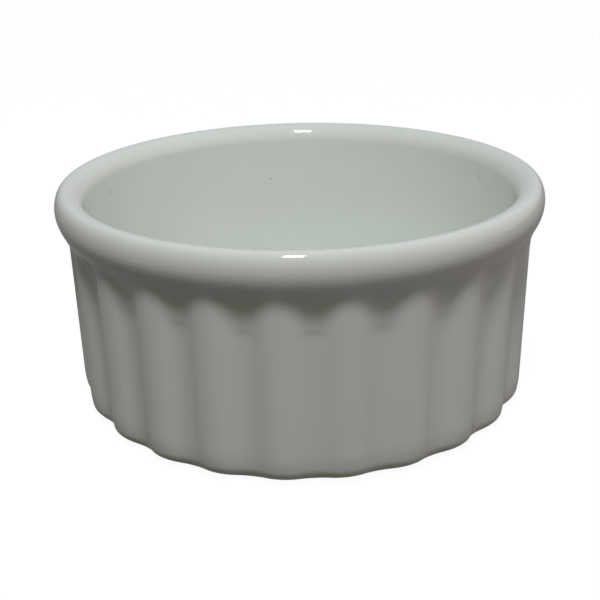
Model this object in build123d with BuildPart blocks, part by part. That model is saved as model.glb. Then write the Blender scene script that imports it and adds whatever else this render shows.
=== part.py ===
from build123d import *
import os
from math import cos, radians, sin

# A small round baking dish of glazed white porcelain, with a rounded rim, ribbed sides and a
# smooth inside. Millimetres, +Z up. The origin is the centre of the foot ring, where it stands.

# Overall sizes
rim_diameter = 90.0
height = 41.4

# Rim: a rounded bead whose highest ring, the crown, lies nearer to the outer edge. It falls
# steeply to the outside and gently to the inside, where it ends at the mouth.
rim_width = 5.2
crown_inset = 1.85
rim_outer_rounding = 3.3
rim_inner_rounding = 3.4

# Underside of the rim: one curve with upright ends that swings in from the rim's widest ring
# to the wall. The fullness and the blend are how long it stays upright at the top and below.
rim_under_width = 4.0
rim_under_height = 9.8
rim_under_fullness = 3.6
rim_under_blend = 3.5

# Ribbed wall: how far the rim overhangs the ribs, and how far the ribs lean in down to the
# base. The flutes between the ribs are evenly spaced. The depth is that of a sharp flute, and
# the wide rounding fills about half of it. The first angle is in degrees from the front to +X.
rim_overhang = 1.8
rib_taper = 0.4
flute_count = 24
first_flute_angle = 2.2
flute_depth = 3.0
flute_rounding = 5.0

# Base: one round edge that cuts the lower ends of the ribs. Above it, it stays clear of them.
base_rounding = 3.2
base_clearance = 0.05

# Inside: how far the wall leans in from the mouth to the floor, and the floor
inside_taper = 1.4
floor_thickness = 3.6
corner_rounding = 9.0

# Foot ring, set in from the ribs, and the recess inside it
foot_height = 0.4
foot_width = 2.6
foot_inset = 3.3
foot_rounding = 0.3
recess_depth = 1.8
recess_rounding = 1.0

# Glaze
glaze_thickness = 0.3

# How far the cut of the hollow runs past the rim
cut_overrun = 1.0

# Places worked out from the sizes above
rim_radius = rim_diameter / 2
crown_radius = rim_radius - crown_inset
widest_level = height - rim_outer_rounding
rib_radius_top = rim_radius - rim_overhang
rib_radius_base = rib_radius_top - rib_taper
under_radius = rim_radius - rim_under_width
under_level = widest_level - rim_under_height
mouth_radius = rim_radius - rim_width
floor_radius = mouth_radius - inside_taper
floor_level = recess_depth + floor_thickness
foot_outer_radius = rib_radius_base - foot_inset
foot_inner_radius = foot_outer_radius - foot_width


def flute_angle(number):
    """Angle of one flute, in degrees from the front."""
    return first_flute_angle + number * 360 / flute_count


def around(radius, angle):
    """Point on a circle, at an angle in degrees from the front."""
    return (radius * sin(radians(angle)), -radius * cos(radians(angle)))


def rib_outline(rib_radius):
    """Draws the ribbed outline: one arc for each rib, from flute to flute."""
    flute_radius = rib_radius - flute_depth
    angles = [flute_angle(number) for number in range(flute_count + 1)]
    for start, end in zip(angles, angles[1:]):
        crest = around(rib_radius, (start + end) / 2)
        ThreePointArc(around(flute_radius, start), crest, around(flute_radius, end))


def recess_outline(skin):
    """Draws half of the recess under the dish, up from the foot's upper edge."""
    top = recess_depth - skin
    side = foot_inner_radius - skin
    FilletPolyline((0, top), (side, top), (side, foot_height), radius=recess_rounding - skin)
    Polyline((side, foot_height), (0, foot_height), (0, top))


def dish_shape(skin):
    """The whole dish without its foot ring, each surface moved in by a skin of glaze."""
    with BuildPart() as dish:
        # The solid ribbed block, from the base up into the rim
        levels = (foot_height + skin, widest_level - skin)
        rib_radii = (rib_radius_base - skin, rib_radius_top - skin)
        for level, rib_radius in zip(levels, rib_radii):
            with BuildSketch(Plane.XY.offset(level)) as section:
                with BuildLine():
                    rib_outline(rib_radius)
                make_face()
                fillet(section.vertices(), flute_rounding + skin)
        loft(ruled=True)

        # The round lower edge, which keeps what lies inside it
        with BuildSketch(Plane.XZ):
            with BuildLine():
                bottom = foot_height + skin
                side = FilletPolyline(
                    (0, bottom),
                    (rib_radius_base + base_clearance - skin, bottom),
                    (rib_radius_top + base_clearance - skin, height),
                    radius=base_rounding - skin,
                )
                Polyline(side @ 1, (0, height), (0, bottom))
            make_face()
        revolve(axis=Axis.Z, mode=Mode.INTERSECT)

        # The rim, as a disc with a rounded edge
        with BuildSketch(Plane.XZ):
            with BuildLine():
                under_curve = Bezier(
                    (under_radius - skin, under_level),
                    (under_radius - skin, under_level + rim_under_blend),
                    (rim_radius - skin, widest_level - rim_under_fullness),
                    (rim_radius - skin, widest_level),
                )
                crown = EllipticalCenterArc(
                    (crown_radius, widest_level),
                    crown_inset - skin,
                    rim_outer_rounding - skin,
                )
                Polyline(crown @ 1, (0, height - skin), (0, under_level), under_curve @ 0)
            make_face()
        revolve(axis=Axis.Z)

        # The hollow: the rim's inner rounding, the drafted wall, the corner and the floor
        with BuildSketch(Plane.XZ):
            with BuildLine():
                inner_crown = EllipticalCenterArc(
                    (crown_radius, height - rim_inner_rounding),
                    crown_radius - mouth_radius - skin,
                    rim_inner_rounding - skin,
                    start_angle=90,
                )
                floor_centre = (0, floor_level - skin)
                FilletPolyline(
                    inner_crown @ 1,
                    (floor_radius + skin, floor_level - skin),
                    floor_centre,
                    radius=corner_rounding + skin,
                )
                top = height + cut_overrun
                Polyline(floor_centre, (0, top), (crown_radius, top), inner_crown @ 0)
            make_face()
        revolve(axis=Axis.Z, mode=Mode.SUBTRACT)
    return dish.part


# The fired clay: one skin of glaze smaller than the dish looks, on its bare foot ring
with BuildPart() as porcelain_body:
    add(dish_shape(glaze_thickness))
    with BuildSketch(Plane.XY):
        Circle(foot_outer_radius)
        Circle(foot_inner_radius, mode=Mode.SUBTRACT)
    extrude(amount=recess_depth)
    with BuildSketch(Plane.XZ):
        with BuildLine():
            recess_outline(0)
        make_face()
    revolve(axis=Axis.Z, mode=Mode.SUBTRACT)
    foot_edges = porcelain_body.edges().group_by(Axis.Z)[0]
    fillet(foot_edges, foot_rounding)

# The glaze over the inside, the rim and the ribs, down to the foot ring
with BuildPart() as glaze_coat:
    add(dish_shape(0))
    add(porcelain_body.part, mode=Mode.SUBTRACT)
    with BuildSketch(Plane.XY):
        Circle(foot_outer_radius)
    extrude(amount=recess_depth, mode=Mode.SUBTRACT)

# The glaze in the recess, inside the bare foot ring
with BuildPart() as base_glaze:
    with BuildSketch(Plane.XZ):
        with BuildLine():
            recess_outline(0)
        make_face()
        with BuildLine():
            recess_outline(glaze_thickness)
        make_face(mode=Mode.SUBTRACT)
    revolve(axis=Axis.Z)

porcelain_body.part.label = "porcelain_body"
glaze_coat.part.label = "glaze_coat"
base_glaze.part.label = "base_glaze"

os.makedirs("parts", exist_ok=True)
export_step(porcelain_body.part, "parts/porcelain_body.step")
export_step(glaze_coat.part, "parts/glaze_coat.step")
export_step(base_glaze.part, "parts/base_glaze.step")
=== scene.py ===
"""Looks of the ribbed porcelain baking dish: its body, glaze, light, floor and camera, in metres."""

import logging
from dataclasses import dataclass
from enum import Enum

import bmesh
import bpy
import numpy as np
from mathutils import Matrix, Vector


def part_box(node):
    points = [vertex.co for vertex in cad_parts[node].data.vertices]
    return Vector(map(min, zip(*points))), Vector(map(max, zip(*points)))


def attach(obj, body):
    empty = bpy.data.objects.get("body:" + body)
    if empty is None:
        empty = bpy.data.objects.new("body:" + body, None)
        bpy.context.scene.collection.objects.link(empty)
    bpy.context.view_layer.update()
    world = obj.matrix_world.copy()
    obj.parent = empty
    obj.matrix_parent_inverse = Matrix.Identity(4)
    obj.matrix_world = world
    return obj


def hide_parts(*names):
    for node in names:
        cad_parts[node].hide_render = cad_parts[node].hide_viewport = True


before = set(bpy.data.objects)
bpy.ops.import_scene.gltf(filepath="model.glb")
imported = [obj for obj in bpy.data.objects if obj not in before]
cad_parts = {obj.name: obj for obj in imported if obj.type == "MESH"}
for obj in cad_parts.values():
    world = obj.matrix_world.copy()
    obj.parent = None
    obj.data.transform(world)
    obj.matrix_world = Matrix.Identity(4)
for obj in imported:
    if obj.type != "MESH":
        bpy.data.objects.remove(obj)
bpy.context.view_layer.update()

log = logging.getLogger("dish")
MM = 0.001
BODY = "root"

Colour = tuple[float, float, float]


class Slot(Enum):
    """Material slots of the record."""

    PORCELAIN = "porcelain"
    GLAZE = "glaze"


class Maths(Enum):
    """Operations behind the arithmetic of a wire."""

    PLUS = "ADD"
    MINUS = "SUBTRACT"
    TIMES = "MULTIPLY"
    OVER = "DIVIDE"
    TO_THE = "POWER"
    BELOW = "LESS_THAN"
    SMALLER = "MINIMUM"
    LARGER = "MAXIMUM"


class Wire:
    """An output socket that takes part in Python arithmetic by adding Math nodes."""

    def __init__(self, recipe: "Recipe", socket: bpy.types.NodeSocket) -> None:
        """Keeps the socket and the recipe that new nodes go to."""
        self.recipe = recipe
        self.socket = socket

    def _maths(self, operation: Maths, first: "Wire | float", second: "Wire | float") -> "Wire":
        """Adds one Math node.

        Args:
            operation: what the node does.
            first: its first value.
            second: its second value.

        Returns:
            The node's result.
        """
        settings = {"operation": operation.value}
        return self.recipe.node("ShaderNodeMath", settings, {0: first, 1: second})

    def __add__(self, other: "Wire | float") -> "Wire":
        """Sum."""
        return self._maths(Maths.PLUS, self, other)

    def __radd__(self, other: float) -> "Wire":
        """Sum with a number on the left."""
        return self._maths(Maths.PLUS, other, self)

    def __sub__(self, other: "Wire | float") -> "Wire":
        """Difference."""
        return self._maths(Maths.MINUS, self, other)

    def __rsub__(self, other: float) -> "Wire":
        """Difference from a number."""
        return self._maths(Maths.MINUS, other, self)

    def __mul__(self, other: "Wire | float") -> "Wire":
        """Product."""
        return self._maths(Maths.TIMES, self, other)

    def __rmul__(self, other: float) -> "Wire":
        """Product with a number on the left."""
        return self._maths(Maths.TIMES, other, self)

    def __truediv__(self, other: "Wire | float") -> "Wire":
        """Quotient."""
        return self._maths(Maths.OVER, self, other)

    def __pow__(self, power: float) -> "Wire":
        """Power."""
        return self._maths(Maths.TO_THE, self, power)

    def __lt__(self, other: "Wire | float") -> "Wire":
        """1 where this is below the other value, and 0 elsewhere."""
        return self._maths(Maths.BELOW, self, other)

    def at_most(self, limit: "Wire | float") -> "Wire":
        """The smaller of this and a limit."""
        return self._maths(Maths.SMALLER, self, limit)

    def at_least(self, limit: "Wire | float") -> "Wire":
        """The larger of this and a limit."""
        return self._maths(Maths.LARGER, self, limit)


class Recipe:
    """The nodes of one material or world, added one at a time."""

    def __init__(self, tree: bpy.types.NodeTree) -> None:
        """Starts from an empty tree."""
        self.tree = tree
        tree.nodes.clear()

    def node(
        self,
        kind: str,
        settings: dict[str, object] | None = None,
        sockets: dict[str | int, object] | None = None,
        output: str | int = 0,
    ) -> Wire | None:
        """Adds one node.

        Args:
            kind: the node's type.
            settings: its own properties, which are set first.
            sockets: a value or a wire for each input that is set.
            output: the output that is wanted.

        Returns:
            That output, or None from a node that has no output.
        """
        made = self.tree.nodes.new(kind)
        for name, value in (settings or {}).items():
            setattr(made, name, value)
        for name, value in (sockets or {}).items():
            self._feed(made.inputs[name], value)
        outputs = made.outputs
        return Wire(self, outputs[output]) if len(outputs) else None

    def _feed(self, socket: bpy.types.NodeSocket, value: object) -> None:
        """Gives an input its value.

        Args:
            socket: the input.
            value: a wire to link to it, or a number, colour or vector to set it to.
        """
        if isinstance(value, Wire):
            self.tree.links.new(value.socket, socket)
        elif socket.type == "RGBA":
            socket.default_value = (*value, 1.0)
        else:
            socket.default_value = value

    def blend(self, share: Wire | float, first: Wire | Colour, second: Wire | Colour) -> Wire:
        """Mixes two colours.

        Args:
            share: how much of the second colour there is, from 0 to 1.
            first: the colour at 0.
            second: the colour at 1.

        Returns:
            The mixed colour.
        """
        settings = {"data_type": "RGBA"}
        return self.node("ShaderNodeMix", settings, {0: share, 6: first, 7: second}, 2)

    def scaled(self, colour: Wire | Colour, amount: Wire | float) -> Wire:
        """A colour times an amount."""
        sockets = {"Vector": colour, "Scale": amount}
        return self.node("ShaderNodeVectorMath", {"operation": "SCALE"}, sockets)

    def summed(self, first: Wire | Colour, second: Wire | Colour) -> Wire:
        """Two colours added."""
        return self.node("ShaderNodeVectorMath", {"operation": "ADD"}, {0: first, 1: second})

    def place(self) -> Wire:
        """The point on the object, in metres."""
        return self.node("ShaderNodeTexCoord", output="Object")

    def cloud(self, grain: float, detail: float = 2.0) -> Wire:
        """Even noise around 0.5.

        Args:
            grain: size of its patches in metres.
            detail: how many finer layers it has.

        Returns:
            The noise.
        """
        sockets = {"Vector": self.place(), "Scale": 1 / grain, "Detail": detail}
        return self.node("ShaderNodeTexNoise", None, sockets)

    def mark(self, name: str) -> Wire:
        """A value that the mesh carries under this name."""
        return self.node("ShaderNodeAttribute", {"attribute_name": name}, output="Fac")

    def bump(self, height: Wire, depth: float) -> Wire:
        """A normal that follows small heights.

        Args:
            height: the height, from 0 to 1.
            depth: what a height of 1 is in metres.

        Returns:
            The bent normal.
        """
        sockets = {"Strength": 1.0, "Distance": depth, "Height": height}
        return self.node("ShaderNodeBump", None, sockets, "Normal")

    def surface(self, shader: Wire) -> None:
        """Ends a material with its surface."""
        self.node("ShaderNodeOutputMaterial", None, {"Surface": shader})


def new_material(name: str) -> tuple[bpy.types.Material, Recipe]:
    """Makes an empty material.

    Args:
        name: the material's name.

    Returns:
        The material and the recipe to fill it with.
    """
    material = bpy.data.materials.new(name)
    material.use_nodes = True
    return material, Recipe(material.node_tree)


class Mark(Enum):
    """Values that the glaze's mesh carries for its material."""

    POOLED = "pooled"
    THIN = "thin"


@dataclass(frozen=True)
class Speck:
    """A faint dark speck under the glaze, at an angle from the front and a level above the table."""

    angle: float
    level: float
    radius: float
    size: float
    share: float

    @property
    def place(self) -> tuple[float, float, float]:
        """The speck's middle."""
        turn = np.radians(self.angle)
        return (self.radius * np.sin(turn), -self.radius * np.cos(turn), self.level)

    def mask(self, recipe: Recipe) -> Wire:
        """How dark the speck is at each point, fading out from its middle.

        Args:
            recipe: where its nodes go.

        Returns:
            A value from 0 to the speck's share.
        """
        settings = {"operation": "DISTANCE"}
        away = recipe.node("ShaderNodeVectorMath", settings, {0: recipe.place(), 1: self.place}, "Value")
        ragged = away + (recipe.cloud(self.size) - 0.5) * self.size
        return (1 - ragged / self.size).at_least(0.0) * self.share


SPECKS = (
    Speck(112.7, 35.6 * MM, 39.5 * MM, size=0.9 * MM, share=0.25),
    Speck(-107.8, 35.2 * MM, 39.5 * MM, size=0.9 * MM, share=0.20),
)


@dataclass(frozen=True)
class GlazeFinish:
    """Glossy white glaze, a little greener where it pools and warmer where it runs thin."""

    slot: Slot = Slot.GLAZE
    colour: Colour = (0.79, 0.82, 0.79)
    pooled: Colour = (0.76, 0.80, 0.76)
    thin: Colour = (0.805, 0.82, 0.80)
    cloudy: Colour = (0.77, 0.80, 0.77)
    speck: Colour = (0.250, 0.230, 0.190)
    roughness: float = 0.04
    roughness_spread: float = 0.03
    index: float = 1.5
    cloud_grain: float = 16 * MM
    cloud_start: float = 0.4
    cloud_gain: float = 1.5
    ripple_grain: float = 7 * MM
    ripple_detail: float = 1.0
    ripple_depth: float = 0.006 * MM
    speck_cell: float = 7 * MM
    speck_size: float = 0.16 * MM
    speck_share: float = 0.25
    speck_darkness: float = 0.7

    def scattered(self, recipe: Recipe) -> Wire:
        """A mask of a few tiny specks, scattered through the glaze.

        Args:
            recipe: where its nodes go.

        Returns:
            1 in a speck, and 0 elsewhere.
        """
        sockets = {"Vector": recipe.place(), "Scale": 1 / self.speck_cell}
        cell = recipe.node("ShaderNodeTexVoronoi", None, sockets)
        near = cell < self.speck_size / self.speck_cell
        choice = Wire(recipe, cell.socket.node.outputs["Color"])
        chosen = recipe.node("ShaderNodeSeparateColor", None, {"Color": choice}) < self.speck_share
        return near * chosen

    def material(self) -> bpy.types.Material:
        """Makes the material.

        Returns:
            The material.
        """
        material, recipe = new_material(self.slot.value)
        cloud = recipe.cloud(self.cloud_grain)
        colour = recipe.blend(recipe.mark(Mark.THIN.value), self.colour, self.thin)
        colour = recipe.blend(recipe.mark(Mark.POOLED.value), colour, self.pooled)
        colour = recipe.blend((cloud - self.cloud_start) * self.cloud_gain, colour, self.cloudy)
        specks = self.scattered(recipe) * self.speck_darkness
        for speck in SPECKS:
            specks = specks.at_least(speck.mask(recipe))
        colour = recipe.blend(specks, colour, self.speck)
        ripple = recipe.cloud(self.ripple_grain, self.ripple_detail)
        sockets = {
            "Base Color": colour,
            "Roughness": self.roughness + self.roughness_spread * cloud,
            "IOR": self.index,
            "Normal": recipe.bump(ripple, self.ripple_depth),
        }
        recipe.surface(recipe.node("ShaderNodeBsdfPrincipled", None, sockets))
        return material


@dataclass(frozen=True)
class ClayFinish:
    """Bare fired clay of the foot ring: matt, fine-grained and rubbed grey where it stands."""

    slot: Slot = Slot.PORCELAIN
    colour: Colour = (0.62, 0.59, 0.53)
    grain_colour: Colour = (0.50, 0.47, 0.41)
    rubbed: Colour = (0.40, 0.38, 0.35)
    roughness: float = 0.7
    roughness_spread: float = 0.2
    grain: float = 0.5 * MM
    grain_detail: float = 4.0
    grain_depth: float = 0.02 * MM
    patch: float = 5 * MM
    rubbed_level: float = 0.15 * MM

    def material(self) -> bpy.types.Material:
        """Makes the material.

        Returns:
            The material.
        """
        material, recipe = new_material(self.slot.value)
        grain = recipe.cloud(self.grain, self.grain_detail)
        level = recipe.node("ShaderNodeSeparateXYZ", None, {"Vector": recipe.place()}, "Z")
        worn = (level < self.rubbed_level) * recipe.cloud(self.patch)
        colour = recipe.blend(grain, self.colour, self.grain_colour)
        colour = recipe.blend(worn, colour, self.rubbed)
        sockets = {
            "Base Color": colour,
            "Roughness": self.roughness + self.roughness_spread * grain,
            "Normal": recipe.bump(grain, self.grain_depth),
        }
        recipe.surface(recipe.node("ShaderNodeBsdfPrincipled", None, sockets))
        return material


@dataclass(frozen=True)
class Flutes:
    """Evenly spaced flutes between round ribs, in degrees from the front towards +X."""

    count: int = 24
    first: float = 2.2
    depth: float = 3.0 * MM
    rounding: float = 5.0 * MM

    @property
    def step(self) -> float:
        """Angle from one flute to the next."""
        return 360 / self.count

    def away(self, angles: np.ndarray) -> np.ndarray:
        """Angle from each column to its nearest flute, in degrees."""
        return np.abs((angles - self.first + self.step / 2) % self.step - self.step / 2)

    def radius(self, angles: np.ndarray, crest: np.ndarray, rounding: float) -> np.ndarray:
        """Radius of the ribbed outline: an arc for each rib and a hollow arc for each flute.

        Args:
            angles: the columns' angles in degrees.
            crest: radius over the ribs, for each row.
            rounding: radius of the hollow arcs.

        Returns:
            A radius for each row and column.
        """
        half = np.radians(self.step / 2)
        turn = np.radians(self.away(angles))
        sharp = crest - self.depth
        rib_middle = (crest**2 - sharp**2) / (2 * (crest - sharp * np.cos(half)))
        rib_rounding = crest - rib_middle
        along, across = rib_middle * np.cos(half), rib_middle * np.sin(half)
        flute_middle = along + np.sqrt((rib_rounding + rounding) ** 2 - across**2)
        share = rib_rounding / (rib_rounding + rounding)
        meeting = np.arctan2(across * (1 - share), along + share * (flute_middle - along))
        off_rib = half - turn
        rib_reach = rib_rounding**2 - (rib_middle * np.sin(off_rib)) ** 2
        flute_reach = rounding**2 - (flute_middle * np.sin(turn)) ** 2
        rib = rib_middle * np.cos(off_rib) + np.sqrt(np.maximum(rib_reach, 0))
        flute = flute_middle * np.cos(turn) - np.sqrt(np.maximum(flute_reach, 0))
        return np.where(turn < meeting, flute, rib)


@dataclass(frozen=True)
class Rows:
    """Rows of points round the dish: a radius and a level for each row and column."""

    radius: np.ndarray
    level: np.ndarray

    def reversed(self) -> "Rows":
        """The same rows in the opposite order."""
        return Rows(self.radius[::-1], self.level[::-1])

    @staticmethod
    def joined(*parts: "Rows") -> "Rows":
        """Joins several runs of rows.

        Args:
            parts: the runs, in order.

        Returns:
            All their rows as one run.
        """
        radius = np.vstack([part.radius for part in parts])
        level = np.vstack([part.level for part in parts])
        return Rows(radius, level)


def softly_larger(one: np.ndarray, other: np.ndarray, softness: float) -> np.ndarray:
    """The larger of two radii, with a soft run-in where they are nearly alike.

    Args:
        one: radii of one surface.
        other: radii of the other surface.
        softness: how far the run-in reaches.

    Returns:
        The radii of both surfaces as one.
    """
    return np.maximum(one, other) + softness * np.log1p(np.exp(-np.abs(one - other) / softness))


@dataclass(frozen=True)
class DishForm:
    """The dish's surfaces, each at any depth of skin below the glazed one."""

    rim_radius: float
    height: float
    foot_inner: float
    flutes: Flutes = Flutes()
    columns_per_rib: int = 16
    rim_height: float = 7.5 * MM
    rim_width: float = 5.2 * MM
    crown_inset: float = 1.85 * MM
    rim_outer_rounding: float = 3.3 * MM
    rim_inner_rounding: float = 3.4 * MM
    rim_under_width: float = 4.0 * MM
    rim_under_height: float = 9.8 * MM
    rim_under_fullness: float = 3.6 * MM
    rim_under_blend: float = 3.5 * MM
    rim_overhang: float = 1.8 * MM
    rib_taper: float = 0.4 * MM
    rim_softness: float = 0.45 * MM
    toe_height: float = 5.6 * MM
    toe_inset: float = 3.1 * MM
    toe_rounding: float = 2.4 * MM
    toe_slope_share: float = 0.25
    inside_taper: float = 1.4 * MM
    floor_thickness: float = 3.6 * MM
    corner_rounding: float = 9.0 * MM
    foot_height: float = 0.4 * MM
    foot_outer: float = 39.5 * MM
    recess_depth: float = 1.8 * MM

    @property
    def rib_top(self) -> float:
        """Radius over the ribs at the rim."""
        return self.rim_radius - self.rim_overhang

    @property
    def crown(self) -> float:
        """Radius of the rim's highest ring."""
        return self.rim_radius - self.crown_inset

    @property
    def widest(self) -> float:
        """Level at which the rim is widest."""
        return self.height - self.rim_outer_rounding

    @property
    def floor(self) -> float:
        """Level of the floor inside."""
        return self.recess_depth + self.floor_thickness

    @property
    def columns(self) -> int:
        """How many columns there are round the dish."""
        return self.flutes.count * self.columns_per_rib

    def angles(self) -> np.ndarray:
        """Angle of each column in degrees, with a column in every flute."""
        return self.flutes.first + np.arange(self.columns) * self.flutes.step / self.columns_per_rib

    def ribbed(self, level: np.ndarray, skin: float) -> np.ndarray:
        """The ribbed wall without its toes and rim.

        Args:
            level: the rows' levels.
            skin: depth below the glazed surface.

        Returns:
            A radius for each row and column.
        """
        rise = (level - self.foot_height) / (self.widest - self.foot_height)
        crest = self.rib_top - self.rib_taper * (1 - rise) - skin
        return self.flutes.radius(self.angles(), crest, self.flutes.rounding + skin)

    def toes(self, skin: float, start: float, rows: int) -> Rows:
        """The ribs' toes, which run into the round lower edge, from a circle under them up to the wall.

        Args:
            skin: depth below the glazed surface.
            start: radius of the circle.
            rows: how many rows there are.

        Returns:
            The rows, from the lowest up.
        """
        down = np.cos(np.linspace(0, np.pi / 2, rows))[:, None]
        rise = (self.toe_height - skin) * (1 - down)
        near = np.maximum(1 - rise / (self.toe_rounding - skin), 0)
        share = self.toe_slope_share
        inset = share * down**2 + (1 - share) * (1 - np.sqrt(1 - near**2))
        level = self.foot_height + skin + rise
        base = self.rib_top - self.rib_taper - self.toe_inset
        radius = base + (self.ribbed(level, skin) - base) * (1 - inset)
        radius[0] = start
        return Rows(radius, level + np.zeros_like(radius))

    def underside(self, skin: float, rows: int) -> tuple[np.ndarray, np.ndarray]:
        """The rim's lower side: a curve that leaves the wall upright and ends upright where it is widest.

        Args:
            skin: depth below the glazed surface.
            rows: how many points there are.

        Returns:
            The points' radii and levels, from the lowest up.
        """
        inner = self.rim_radius - self.rim_under_width - skin
        outer = self.rim_radius - skin
        low = self.widest - self.rim_under_height
        share = np.linspace(0, 1, rows)
        weights = ((1 - share) ** 3, 3 * share * (1 - share) ** 2, 3 * share**2 * (1 - share), share**3)
        radii = (inner, inner, outer, outer)
        levels = (low, low + self.rim_under_blend, self.widest - self.rim_under_fullness, self.widest)
        radius = sum(weight * value for weight, value in zip(weights, radii))
        level = sum(weight * value for weight, value in zip(weights, levels))
        return radius, level

    def outside(self, skin: float, start: float, toe_rows: int, wall_rows: int, rim_rows: int) -> Rows:
        """The outer surface, from the circle under the toes up to the crown.

        Args:
            skin: depth below the glazed surface.
            start: radius of the circle.
            toe_rows: rows over the rounded toes.
            wall_rows: rows up the wall.
            rim_rows: rows over the rim.

        Returns:
            The rows, from the lowest up.
        """
        toes = self.toes(skin, start, toe_rows)
        rim_foot = self.widest - self.rim_under_height
        nearby = rim_foot - self.rim_overhang
        wall = np.linspace(self.foot_height + self.toe_height, nearby, wall_rows)[1:]
        join = np.linspace(nearby, rim_foot, toe_rows // 2)[1:-1]
        bead_radius, bead = self.underside(skin, rim_rows)
        level = np.concatenate([wall, join, bead])[:, None]
        inner = self.rim_radius - self.rim_under_width - skin
        below = np.maximum(rim_foot - np.concatenate([wall, join]), 0)
        rim = np.concatenate([inner - below**2 / self.rim_overhang, bead_radius])[:, None]
        radius = softly_larger(self.ribbed(level, skin), rim, self.rim_softness)
        turn = np.linspace(0, np.pi / 2, rim_rows // 2)[1:, None]
        columns = np.zeros((1, self.columns))
        crown_radius = self.crown + (self.crown_inset - skin) * np.cos(turn) + columns
        crown_level = self.widest + (self.rim_outer_rounding - skin) * np.sin(turn) + columns
        return Rows.joined(toes, Rows(radius, level + columns), Rows(crown_radius, crown_level))

    def inside(self, skin: float, crown_rows: int, wall_rows: int, corner_rows: int, floor_rows: int) -> Rows:
        """The inner surface, from the crown down to the floor, without the floor's centre.

        Args:
            skin: depth below the glazed surface.
            crown_rows: rows over the rim's inner rounding.
            wall_rows: rows down the wall.
            corner_rows: rows round the corner.
            floor_rows: rows across the floor.

        Returns:
            The rows, from the crown to the floor.
        """
        mouth = self.rim_radius - self.rim_width + skin
        mouth_level = self.height - self.rim_inner_rounding
        turn = np.linspace(0, np.pi / 2, crown_rows)[1:]
        crown = (
            self.crown - (self.crown - mouth) * np.sin(turn),
            mouth_level + (self.rim_inner_rounding - skin) * np.cos(turn),
        )
        corner = np.array([mouth - self.inside_taper, self.floor - skin])
        up = np.array([mouth, mouth_level]) - corner
        up /= np.linalg.norm(up)
        inward = np.array([-1.0, 0.0])
        half = np.arccos(up @ inward) / 2
        rounding = self.corner_rounding + skin
        middle = up + inward
        centre = corner + middle / np.linalg.norm(middle) * rounding / np.sin(half)
        start = corner + up * rounding / np.tan(half)
        end = corner + inward * rounding / np.tan(half)
        wall = np.linspace((mouth, mouth_level), start, wall_rows)[1:].T
        first = np.arctan2(*(start - centre)[::-1])
        last = np.arctan2(*(end - centre)[::-1])
        turns = np.linspace(first, last, corner_rows)[1:]
        arc = (centre[0] + rounding * np.cos(turns), centre[1] + rounding * np.sin(turns))
        floor = np.linspace(end, (0, end[1]), floor_rows + 1)[1:-1].T
        radius, level = np.hstack([crown, wall, arc, floor])
        columns = np.zeros(self.columns)
        return Rows(radius[:, None] + columns, level[:, None] + columns)

    def ring(self, radius: float | np.ndarray, level: float) -> Rows:
        """One row at a single level."""
        columns = np.zeros((1, self.columns))
        return Rows(radius + columns, level + columns)

    def mesh(self, name: str, rows: Rows, first_level: float, last_level: float) -> bpy.types.Object:
        """Turns rows into a closed mesh whose first and last row each close on the axis.

        Args:
            name: the new object's name.
            rows: the rows between the two ends.
            first_level: level of the point on the axis before the first row.
            last_level: level of the point on the axis after the last row.

        Returns:
            The object, smooth-shaded, with its normals outwards.
        """
        angles = np.radians(self.angles())
        across = rows.radius * np.sin(angles)
        along = -rows.radius * np.cos(angles)
        made = bmesh.new()
        points = np.stack([across, along, rows.level], -1)
        grid = [[made.verts.new(point) for point in row] for row in points.tolist()]
        first = made.verts.new((0, 0, first_level))
        last = made.verts.new((0, 0, last_level))
        columns = len(angles)
        for left in range(columns):
            right = (left + 1) % columns
            made.faces.new((first, grid[0][left], grid[0][right]))
            made.faces.new((last, grid[-1][right], grid[-1][left]))
            for lower, upper in zip(grid, grid[1:]):
                made.faces.new((lower[left], upper[left], upper[right], lower[right]))
        bmesh.ops.recalc_face_normals(made, faces=made.faces)
        mesh = bpy.data.meshes.new(name)
        made.to_mesh(mesh)
        made.free()
        mesh.shade_smooth()
        piece = bpy.data.objects.new(name, mesh)
        bpy.context.scene.collection.objects.link(piece)
        return piece


def dress(piece: bpy.types.Object, material: bpy.types.Material, node: str) -> None:
    """Finishes a piece: its material, the node that it stands for and the body that it rides.

    Args:
        piece: the piece.
        material: its material.
        node: the solid's node that it replaces.
    """
    piece.data.materials.append(material)
    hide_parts(node)
    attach(piece, BODY)
    log.info("%s: %d faces, for %s", piece.name, len(piece.data.polygons), node)


@dataclass(frozen=True)
class PorcelainBody:
    """The fired clay under the glaze, with its bare foot ring."""

    form: DishForm
    finish: ClayFinish
    skin: float
    foot_rounding: float = 0.3 * MM
    recess_rounding: float = 1.0 * MM
    rounding_rows: int = 6
    middle_share: float = 0.5
    node: str = "porcelain_body"

    def foot(self) -> Rows:
        """The recess and the foot ring.

        Returns:
            The rows, from the middle outwards.
        """
        form = self.form
        turns = np.linspace(0, np.pi / 2, self.rounding_rows)
        rows = [form.ring(form.foot_inner * self.middle_share, form.recess_depth)]
        for turn in turns:
            radius = form.foot_inner - self.recess_rounding * (1 - np.sin(turn))
            level = form.recess_depth - self.recess_rounding * (1 - np.cos(turn))
            rows.append(form.ring(radius, level))
        for turn in turns:
            radius = form.foot_inner + self.foot_rounding * (1 - np.cos(turn))
            rows.append(form.ring(radius, self.foot_rounding * (1 - np.sin(turn))))
        for turn in turns:
            radius = form.foot_outer - self.foot_rounding * (1 - np.sin(turn))
            rows.append(form.ring(radius, self.foot_rounding * (1 - np.cos(turn))))
        rows.append(form.ring(form.foot_outer, form.foot_height))
        return Rows.joined(*rows)

    def build(self) -> bpy.types.Object:
        """Makes the piece.

        Returns:
            The finished object.
        """
        form = self.form
        rows = Rows.joined(self.foot(), hidden_side(form, self.skin))
        piece = form.mesh("PorcelainBody", rows, form.recess_depth, form.floor - self.skin)
        dress(piece, self.finish.material(), self.node)
        return piece


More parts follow.
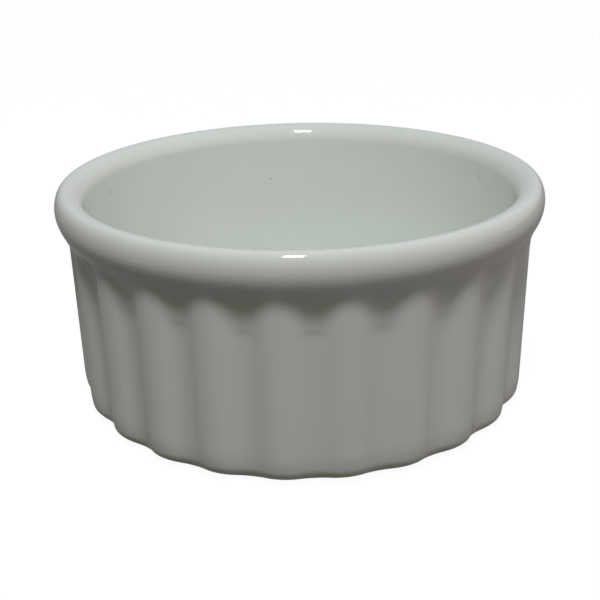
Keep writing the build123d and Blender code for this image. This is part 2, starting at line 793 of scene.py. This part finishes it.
def hidden_side(form: DishForm, skin: float) -> Rows:
    """Where clay and glaze meet, from the base beside the foot ring to the floor inside.

    Args:
        form: the dish's surfaces.
        skin: the glaze's thickness.

    Returns:
        The rows, in that order.
    """
    outside = form.outside(skin, form.foot_outer, toe_rows=8, wall_rows=4, rim_rows=12)
    inside = form.inside(skin, crown_rows=8, wall_rows=3, corner_rows=7, floor_rows=3)
    return Rows.joined(outside, inside)


@dataclass(frozen=True)
class GlazeCoat:
    """The glaze over the inside, the rim and the ribs, down to the foot ring."""

    form: DishForm
    material: bpy.types.Material
    skin: float
    edge_rounding: float = 0.15 * MM
    edge_rows: int = 5
    pool_width: float = 1.1 * MM
    node: str = "glaze_coat"

    def seen_side(self) -> Rows:
        """The glazed surface that shows, from the floor inside to the rounded edge at the foot ring.

        Returns:
            The rows, in that order.
        """
        form = self.form
        start = form.foot_outer + self.edge_rounding
        outside = form.outside(0.0, start, toe_rows=18, wall_rows=24, rim_rows=40)
        inside = form.inside(0.0, crown_rows=24, wall_rows=18, corner_rows=22, floor_rows=12)
        turn = np.linspace(0, np.pi / 2, self.edge_rows)[1:, None]
        columns = np.zeros((1, form.columns))
        edge_radius = start - self.edge_rounding * np.sin(turn) + columns
        edge_level = outside.level[0] + self.edge_rounding * (1 - np.cos(turn))
        return Rows.joined(inside.reversed(), outside.reversed(), Rows(edge_radius, edge_level))

    def marks(self, rows: Rows) -> dict[Mark, np.ndarray]:
        """Where the glaze pools and where it runs thin.

        Args:
            rows: all rows of the mesh.

        Returns:
            A value from 0 to 1 for each row and column, under each mark.
        """
        form = self.form
        away = np.radians(form.flutes.away(form.angles()))
        beside_flute = np.exp(-((away * rows.radius / self.pool_width) ** 2))
        rim_foot = form.height - form.rim_height
        below_rim = rows.level < rim_foot
        outer = rows.radius > form.crown - form.rim_width / 2
        under_rim = np.exp(-(((rim_foot - rows.level) / (2 * self.pool_width)) ** 2))
        pooled = np.where(outer & below_rim, np.maximum(beside_flute, under_rim), 0.0)
        crown = np.exp(-(((rows.radius - form.crown) / form.crown_inset) ** 2))
        thin = np.where(rows.level > form.widest, crown, 0.0)
        return {Mark.POOLED: pooled, Mark.THIN: thin}

    def build(self) -> bpy.types.Object:
        """Makes the piece.

        Returns:
            The finished object.
        """
        form = self.form
        rows = Rows.joined(self.seen_side(), hidden_side(form, self.skin))
        piece = form.mesh("GlazeCoat", rows, form.floor, form.floor - self.skin)
        for mark, values in self.marks(rows).items():
            attribute = piece.data.attributes.new(mark.value, "FLOAT", "POINT")
            middles = np.zeros(2)
            attribute.data.foreach_set("value", np.concatenate([values.ravel(), middles]))
        dress(piece, self.material, self.node)
        return piece


@dataclass(frozen=True)
class BaseGlaze:
    """The pool of glaze in the recess, inside the bare foot ring."""

    form: DishForm
    material: bpy.types.Material
    skin: float
    recess_rounding: float = 1.0 * MM
    rounding_rows: int = 8
    flat_shares: tuple[float, ...] = (0.3, 0.6, 0.85)
    node: str = "base_glaze"

    def corner(self, skin: float) -> Rows:
        """The recess, from the middle out to the foot ring's upper edge.

        Args:
            skin: depth below the bare clay.

        Returns:
            The rows, in that order.
        """
        form = self.form
        side = form.foot_inner - skin
        top = form.recess_depth - skin
        rounding = self.recess_rounding - skin
        rows = [form.ring(side * share, top) for share in self.flat_shares]
        for turn in np.linspace(0, np.pi / 2, self.rounding_rows):
            radius = side - rounding * (1 - np.sin(turn))
            rows.append(form.ring(radius, top - rounding * (1 - np.cos(turn))))
        rows.append(form.ring(side, form.foot_height))
        return Rows.joined(*rows)

    def build(self) -> bpy.types.Object:
        """Makes the piece.

        Returns:
            The finished object.
        """
        form = self.form
        rows = Rows.joined(self.corner(self.skin), self.corner(0.0).reversed())
        piece = form.mesh("BaseGlaze", rows, form.recess_depth - self.skin, form.recess_depth)
        dress(piece, self.material, self.node)
        return piece


@dataclass(frozen=True)
class Sight:
    """The camera, placed round the dish as the photograph was taken."""

    elevation: float = 22.42
    distance: float = 196.42 * MM
    roll: float = -1.210
    aim: tuple[float, float, float] = (-0.307 * MM, 0.0, 15.841 * MM)
    lens: float = 60.0
    sensor: float = 36.0
    clip_ratio: float = 100.0

    def build(self) -> bpy.types.Object:
        """Makes the camera and gives it to the scene.

        Returns:
            The camera.
        """
        tilt = np.radians(self.elevation)
        roll = np.radians(self.roll)
        back = Vector((0, -np.cos(tilt), np.sin(tilt)))
        up = Vector((0, np.sin(tilt), np.cos(tilt)))
        side = Vector((1, 0, 0))
        turned_side = side * np.cos(roll) + up * np.sin(roll)
        turned_up = up * np.cos(roll) - side * np.sin(roll)
        place = Vector(self.aim) + back * self.distance
        data = bpy.data.cameras.new("Camera")
        data.lens = self.lens
        data.sensor_width = self.sensor
        data.clip_start = self.distance / self.clip_ratio
        data.clip_end = self.distance * self.clip_ratio
        camera = bpy.data.objects.new("Camera", data)
        bpy.context.scene.collection.objects.link(camera)
        turned = Matrix((turned_side, turned_up, back)).transposed()
        camera.matrix_world = Matrix.Translation(place) @ turned.to_4x4()
        bpy.context.scene.camera = camera
        return camera


@dataclass(frozen=True)
class Lamp:
    """A flat lamp that points at the dish. Its level is what it adds to a white surface that faces it."""

    name: str
    azimuth: float
    elevation: float
    distance: float
    width: float
    depth: float
    level: float
    colour: Colour

    def build(self) -> bpy.types.Object:
        """Makes the lamp.

        Returns:
            The lamp.
        """
        around = np.radians(self.azimuth)
        above = np.radians(self.elevation)
        flat = np.cos(above)
        direction = Vector((np.sin(around) * flat, -np.cos(around) * flat, np.sin(above)))
        data = bpy.data.lights.new(self.name, "AREA")
        data.shape = "RECTANGLE"
        data.size = self.width
        data.size_y = self.depth
        data.energy = self.level * (np.pi * self.distance) ** 2
        data.color = self.colour
        lamp = bpy.data.objects.new(self.name, data)
        lamp.location = direction * self.distance
        lamp.rotation_mode = "QUATERNION"
        lamp.rotation_quaternion = (-direction).to_track_quat("-Z", "Y")
        bpy.context.scene.collection.objects.link(lamp)
        return lamp


class Backdrop:
    """The white that the camera sees round the dish. Other rays take little of it."""

    def __init__(self, mirrored_share: float) -> None:
        """Keeps the share of the white that shows in mirror images."""
        self.mirrored_share = mirrored_share

    def share(self, recipe: Recipe) -> Wire:
        """How much of the white a ray takes: all of it for the camera.

        Args:
            recipe: where its nodes go.

        Returns:
            The share, from 0 to 1.
        """
        path = recipe.node("ShaderNodeLightPath", output="Is Camera Ray")
        rays = path.socket.node.outputs
        glossy = Wire(recipe, rays["Is Glossy Ray"])
        through = Wire(recipe, rays["Is Transmission Ray"])
        return (path + through + glossy * self.mirrored_share).at_most(1.0)


@dataclass(frozen=True)
class Floor:
    """A wide plain floor, white to the camera, that keeps the dish's shadow."""

    backdrop: Backdrop
    reach: float = 4.0
    level: float = -0.02 * MM
    colour: Colour = (0.08, 0.08, 0.08)
    white: float = 0.955

    def material(self) -> bpy.types.Material:
        """Makes the material.

        Returns:
            The material.
        """
        material, recipe = new_material("floor")
        lit = recipe.node("ShaderNodeBsdfDiffuse", None, {"Color": self.colour})
        glow = recipe.node("ShaderNodeEmission", None, {"Color": (1, 1, 1), "Strength": self.white})
        shown = recipe.node("ShaderNodeAddShader", None, {0: glow, 1: lit})
        share = self.backdrop.share(recipe)
        recipe.surface(recipe.node("ShaderNodeMixShader", None, {0: share, 1: lit, 2: shown}))
        return material

    def build(self) -> bpy.types.Object:
        """Makes the floor.

        Returns:
            The floor.
        """
        made = bmesh.new()
        corners = [(-1, -1), (1, -1), (1, 1), (-1, 1)]
        points = [(x * self.reach, y * self.reach, self.level) for x, y in corners]
        made.faces.new([made.verts.new(point) for point in points])
        mesh = bpy.data.meshes.new("Floor")
        made.to_mesh(mesh)
        made.free()
        mesh.materials.append(self.material())
        floor = bpy.data.objects.new("Floor", mesh)
        bpy.context.scene.collection.objects.link(floor)
        return floor


@dataclass(frozen=True)
class Sky:
    """Soft light from all round, with a colour for each side."""

    backdrop: Backdrop
    top: Colour = (0.12, 0.31, 0.29)
    front: Colour = (0.22, 0.18, 0.11)
    back: Colour = (0.33, 0.28, 0.30)
    left: Colour = (0.21, 0.11, 0.105)
    right: Colour = (0.77, 0.59, 0.62)

    def build(self) -> None:
        """Gives the world its light."""
        world = bpy.data.worlds.new("Sky")
        bpy.context.scene.world = world
        world.use_nodes = True
        recipe = Recipe(world.node_tree)
        split = {"Vector": recipe.node("ShaderNodeTexCoord", output="Generated")}
        sides = (
            ("X", 1, self.right),
            ("X", -1, self.left),
            ("Y", -1, self.front),
            ("Y", 1, self.back),
            ("Z", 1, self.top),
        )
        colour: Wire | Colour = (0.0, 0.0, 0.0)
        for axis, sign, tint in sides:
            towards = (recipe.node("ShaderNodeSeparateXYZ", None, split, axis) * sign).at_least(0.0) ** 2
            colour = recipe.summed(colour, recipe.scaled(tint, towards))
        light = recipe.node("ShaderNodeBackground", None, {"Color": colour})
        white = recipe.node("ShaderNodeBackground", None, {"Color": (1, 1, 1)})
        share = self.backdrop.share(recipe)
        shown = recipe.node("ShaderNodeMixShader", None, {0: share, 1: light, 2: white})
        recipe.node("ShaderNodeOutputWorld", None, {"Surface": shown})


KEY = Lamp(
    name="Key",
    azimuth=-5.0,
    elevation=66.0,
    distance=1.0,
    width=0.10,
    depth=0.20,
    level=0.495,
    colour=(1.0, 0.972, 0.984),
)


def studio() -> None:
    """Makes the floor, the sky and the lamp above the front."""
    backdrop = Backdrop(mirrored_share=0.18)
    Floor(backdrop).build()
    Sky(backdrop).build()
    KEY.build()


def main() -> None:
    """Builds the pieces in order, then the studio and the camera."""
    logging.basicConfig(level=logging.INFO, format="%(name)s: %(message)s")
    scene = bpy.context.scene
    scene.view_settings.view_transform = "Standard"
    dish_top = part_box("glaze_coat")[1]
    body_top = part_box("porcelain_body")[1]
    recess_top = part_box("base_glaze")[1]
    skin = dish_top.z - body_top.z
    form = DishForm(dish_top.x, dish_top.z, foot_inner=recess_top.x, recess_depth=recess_top.z)
    glaze = GlazeFinish().material()
    pieces = [
        PorcelainBody(form, ClayFinish(), skin).build(),
        GlazeCoat(form, glaze, skin).build(),
        BaseGlaze(form, glaze, skin).build(),
    ]
    studio()
    Sight().build()
    log.info("%d pieces", len(pieces))


if __name__ == "__main__":
    main()
